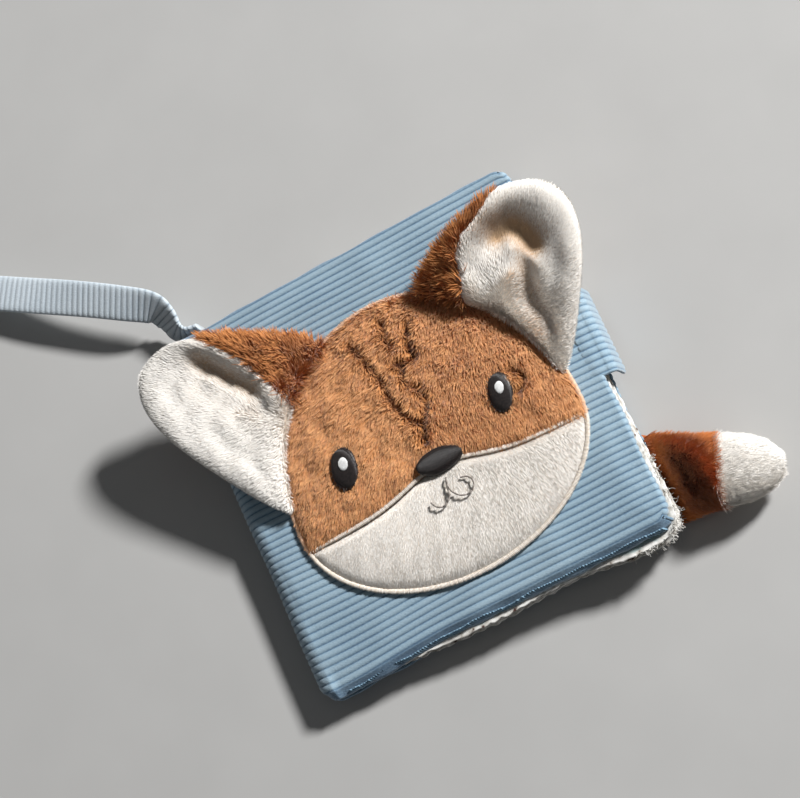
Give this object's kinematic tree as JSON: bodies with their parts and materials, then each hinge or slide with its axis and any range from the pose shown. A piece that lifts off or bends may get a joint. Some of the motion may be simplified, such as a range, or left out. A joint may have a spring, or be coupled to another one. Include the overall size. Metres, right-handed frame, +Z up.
{
  "type": "cloth book",
  "caption": "Closed padded cloth book in blue corduroy with a plush fox face, stuffed ears and tail, a closure tab and a pram strap.",
  "frame": {"origin": "centre of the back cover's underside, which lies on the floor", "axes": "+X from the spine to the fore-edge, +Y towards the top of the face, +Z up through the front cover"},
  "size_m": [0.3361, 0.265, 0.0505],
  "materials": {
    "corduroy_blue": "wide-wale cotton corduroy, soft pile",
    "wadding_white": "polyester wadding",
    "lining_cotton": "plain cotton",
    "page_cotton": "printed cotton",
    "crinkle_film": "thin crackling film",
    "plush_ginger": "short brushed plush",
    "plush_rust": "short brushed plush",
    "plush_cream": "short brushed plush",
    "thread_peach": "satin stitch",
    "thread_cream": "satin stitch",
    "thread_dark": "satin stitch",
    "thread_white": "satin stitch",
    "hook_tape": "hook tape",
    "loop_tape": "loop tape"
  },
  "bodies": {
    "back_cover": {"back_cover_corduroy": "corduroy_blue", "back_cover_wadding": "wadding_white", "back_cover_lining": "lining_cotton", "tab_loop_patch": "loop_tape"},
    "spine": {"spine_corduroy": "corduroy_blue", "spine_lining": "lining_cotton"},
    "leaf_1": {"leaf_1_upper_page": "page_cotton", "leaf_1_lower_page": "page_cotton", "leaf_1_crinkle_film": "crinkle_film"},
    "leaf_2": {"leaf_2_upper_page": "page_cotton", "leaf_2_lower_page": "page_cotton", "leaf_2_crinkle_film": "crinkle_film"},
    "leaf_3": {"leaf_3_upper_page": "page_cotton", "leaf_3_lower_page": "page_cotton", "leaf_3_crinkle_film": "crinkle_film"},
    "leaf_4": {"leaf_4_upper_page": "page_cotton", "leaf_4_lower_page": "page_cotton", "leaf_4_crinkle_film": "crinkle_film"},
    "front_cover": {"front_cover_corduroy": "corduroy_blue", "front_cover_wadding": "wadding_white", "front_cover_lining": "lining_cotton", "head_plush": "plush_ginger", "muzzle_plush": "plush_cream", "head_edge_stitching": "thread_peach", "muzzle_edge_stitching": "thread_cream", "muzzle_seam_stitching": "thread_cream", "left_eye": "thread_dark", "right_eye": "thread_dark", "left_eye_highlight": "thread_white", "right_eye_highlight": "thread_white", "nose": "thread_dark", "mouth_stitch_left": "thread_dark", "mouth_stitch_right": "thread_dark"},
    "left_ear": {"left_ear_wadding": "wadding_white", "left_ear_front": "plush_cream", "left_ear_back": "plush_rust"},
    "right_ear": {"right_ear_wadding": "wadding_white", "right_ear_front": "plush_cream", "right_ear_back": "plush_rust"},
    "tab": {"closure_tab": "corduroy_blue", "tab_hook_patch": "hook_tape"},
    "tail": {"tail_tip_upper": "plush_cream", "tail_tip_lower": "plush_cream", "tail_body_upper": "plush_rust", "tail_body_lower": "plush_rust"},
    "strap": {"pram_strap": "corduroy_blue", "strap_hook_patch": "hook_tape", "strap_loop_patch": "loop_tape"}
  },
  "joints": [
    {"name": "cover_hinge", "type": "hinge", "parent": "spine", "child": "front_cover", "pos_m": [-0.07905, 0, 0.0118], "axis": [0, -1, 0], "range_deg": [0, 75]},
    {"name": "spine_hinge", "type": "hinge", "parent": "back_cover", "child": "spine", "pos_m": [-0.07905, 0, 0.004], "axis": [0, -1, 0], "range_deg": [0, 75]},
    {"name": "leaf_1_hinge", "type": "hinge", "parent": "spine", "child": "leaf_1", "pos_m": [-0.07905, 0, 0.00513], "axis": [0, -1, 0], "range_deg": [-45, 0]},
    {"name": "leaf_2_hinge", "type": "hinge", "parent": "spine", "child": "leaf_2", "pos_m": [-0.07905, 0, 0.00698], "axis": [0, -1, 0], "range_deg": [-15, 0]},
    {"name": "leaf_3_hinge", "type": "hinge", "parent": "spine", "child": "leaf_3", "pos_m": [-0.07905, 0, 0.00882], "axis": [0, -1, 0], "range_deg": [0, 15]},
    {"name": "leaf_4_hinge", "type": "hinge", "parent": "spine", "child": "leaf_4", "pos_m": [-0.07905, 0, 0.01068], "axis": [0, -1, 0], "range_deg": [0, 45]},
    {"name": "left_ear_fold", "type": "hinge", "parent": "front_cover", "child": "left_ear", "pos_m": [-0.0191, 0.04694, 0.02334], "axis": [0.5957, 0.8022, 0.0409], "range_deg": [0, 142.5]},
    {"name": "right_ear_bend", "type": "hinge", "parent": "front_cover", "child": "right_ear", "pos_m": [0.0217, 0.04694, 0.02614], "axis": [0.5957, -0.8022, 0.0409], "range_deg": [0, 50]},
    {"name": "tab_bend", "type": "hinge", "parent": "front_cover", "child": "tab", "pos_m": [0.07819, 0.002, 0.02531], "axis": [0, -1, 0], "range_deg": [0, 90]},
    {"name": "tail_bend", "type": "hinge", "parent": "back_cover", "child": "tail", "pos_m": [0.07875, -0.0615, 0.0044], "axis": [0, -1, 0], "range_deg": [0, 45]},
    {"name": "strap_swing", "type": "hinge", "parent": "back_cover", "child": "strap", "pos_m": [-0.06825, 0.0817, 0.0085], "axis": [0, 0, 1], "range_deg": [-60, 0]}
  ],
  "couplings": [
    {"joint": "spine_hinge", "follows": "cover_hinge", "ratio": 1},
    {"joint": "leaf_1_hinge", "follows": "cover_hinge", "ratio": -0.6},
    {"joint": "leaf_2_hinge", "follows": "cover_hinge", "ratio": -0.2},
    {"joint": "leaf_3_hinge", "follows": "cover_hinge", "ratio": 0.2},
    {"joint": "leaf_4_hinge", "follows": "cover_hinge", "ratio": 0.6},
    {"joint": "left_ear_fold", "follows": "cover_hinge", "ratio": 1.9}
  ]
}
